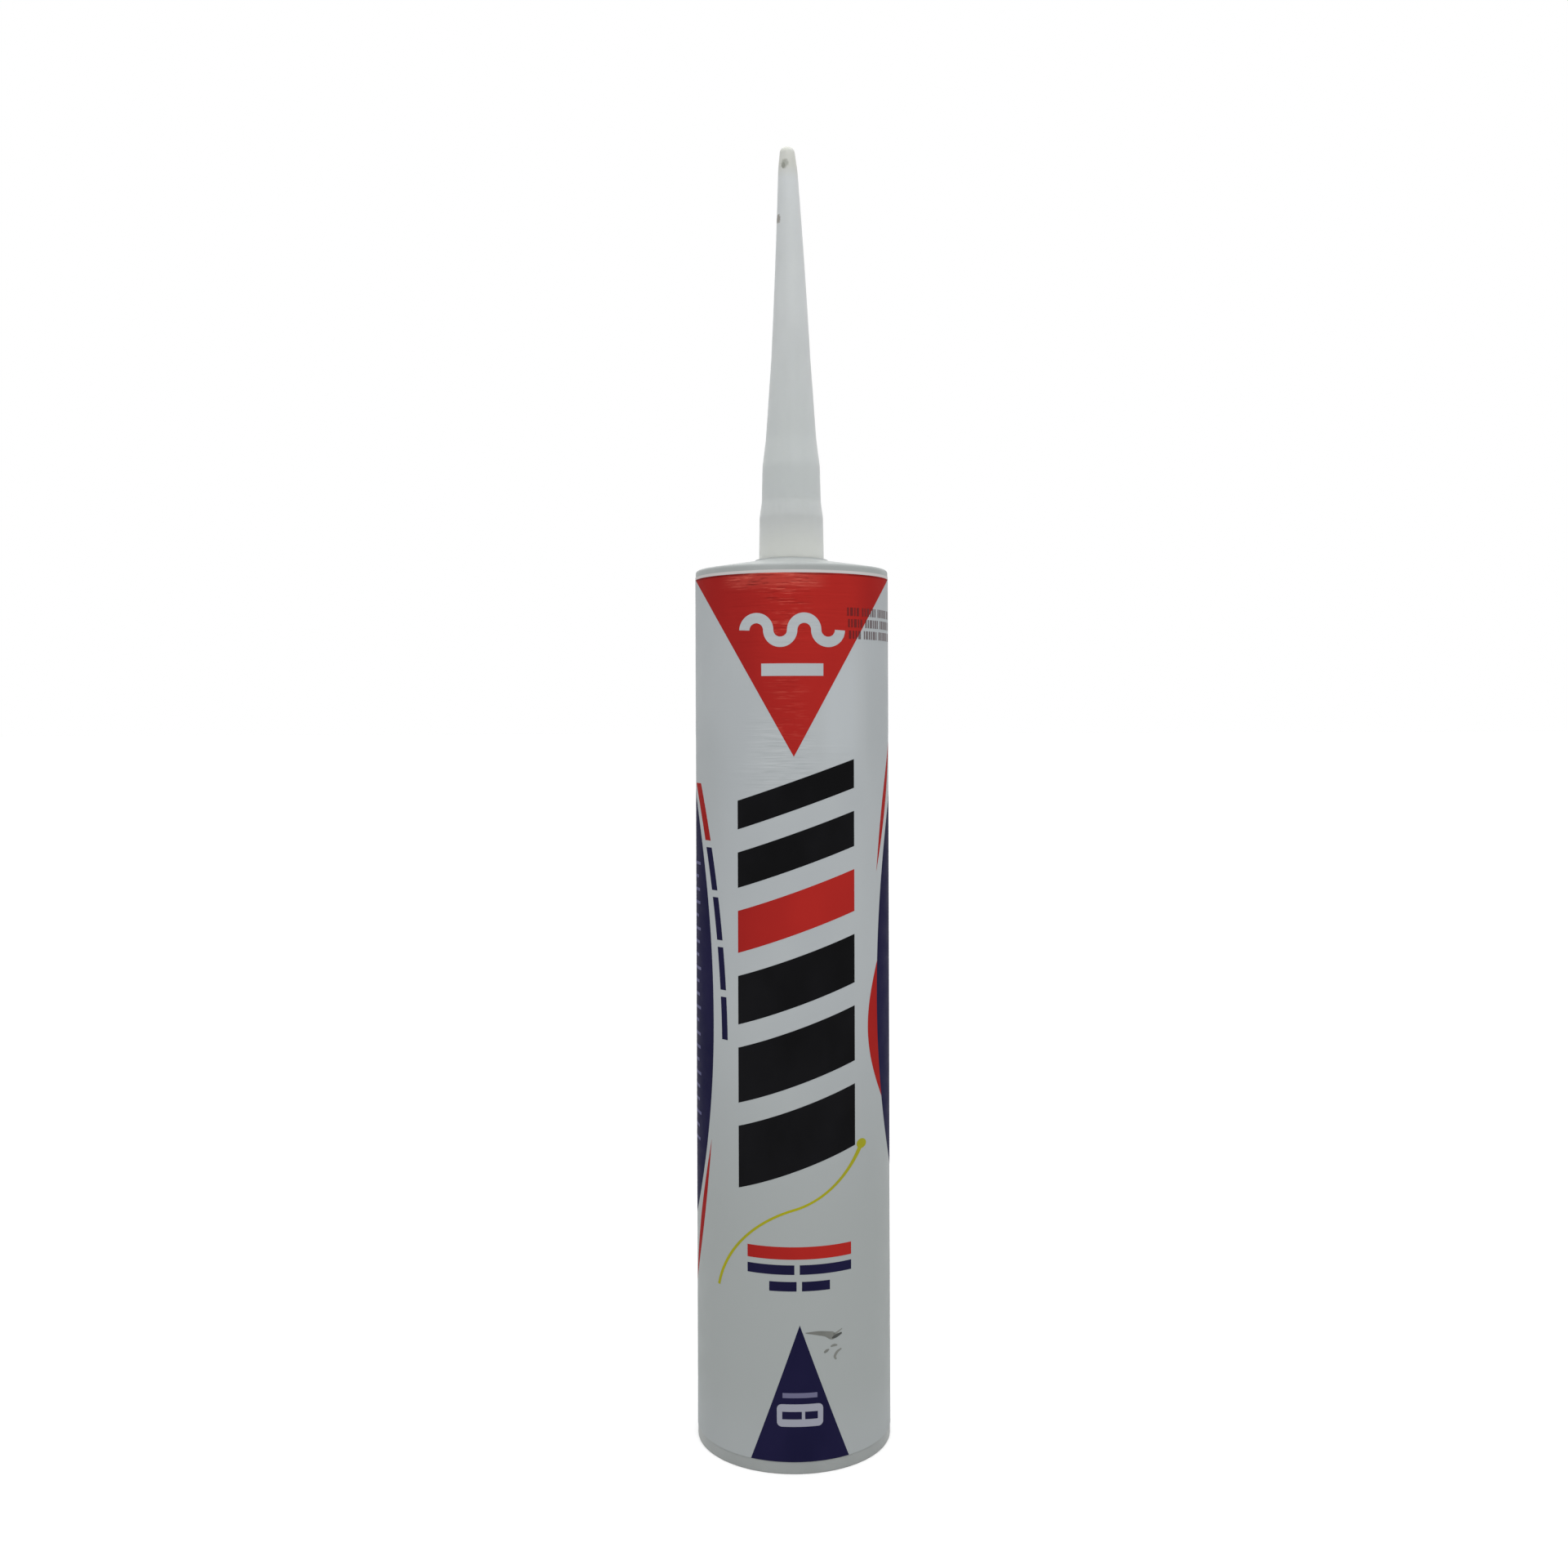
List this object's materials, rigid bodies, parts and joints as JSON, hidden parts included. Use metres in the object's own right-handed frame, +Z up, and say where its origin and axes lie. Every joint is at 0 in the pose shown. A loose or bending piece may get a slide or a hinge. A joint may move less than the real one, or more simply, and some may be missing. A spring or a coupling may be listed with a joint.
{
  "type": "caulk tube",
  "caption": "Rigid sealant cartridge for a caulking gun: cylindrical barrel with a printed wrap label, long tapered screw-on nozzle with a closed tip, and a sliding piston at the open rear.",
  "frame": {"origin": "centre of the rear rim that the cartridge stands on, at the floor", "axes": "+Z up along the barrel's axis towards the nozzle's tip, front of the label towards -Y, +X to the right as seen from the front"},
  "size_m": [0.0494, 0.0493, 0.3282],
  "materials": {
    "barrel_plastic": "satin polyethylene, moulded",
    "nozzle_plastic": "satin polyethylene, slightly translucent",
    "piston_plastic": "satin polyethylene",
    "sealant_paste": "smooth paste",
    "label_film": "satin film",
    "red_ink": "satin print under film",
    "navy_ink": "satin print under film",
    "black_ink": "satin print under film",
    "yellow_ink": "satin print under film"
  },
  "bodies": {
    "barrel": {"barrel": "barrel_plastic", "label_film": "label_film", "red_print": "red_ink", "navy_print": "navy_ink", "black_print": "black_ink", "yellow_print": "yellow_ink", "sealant": "sealant_paste"},
    "nozzle": {"nozzle": "nozzle_plastic"},
    "piston": {"piston": "piston_plastic"}
  },
  "joints": [
    {"name": "nozzle_lift", "type": "slide", "parent": "barrel", "child": "nozzle", "axis": [0, 0, 1], "range_m": [0, 0.02]},
    {"name": "piston_slide", "type": "slide", "parent": "barrel", "child": "piston", "axis": [0, 0, 1], "range_m": [0, 0.1806], "deforming": ["sealant"]}
  ]
}
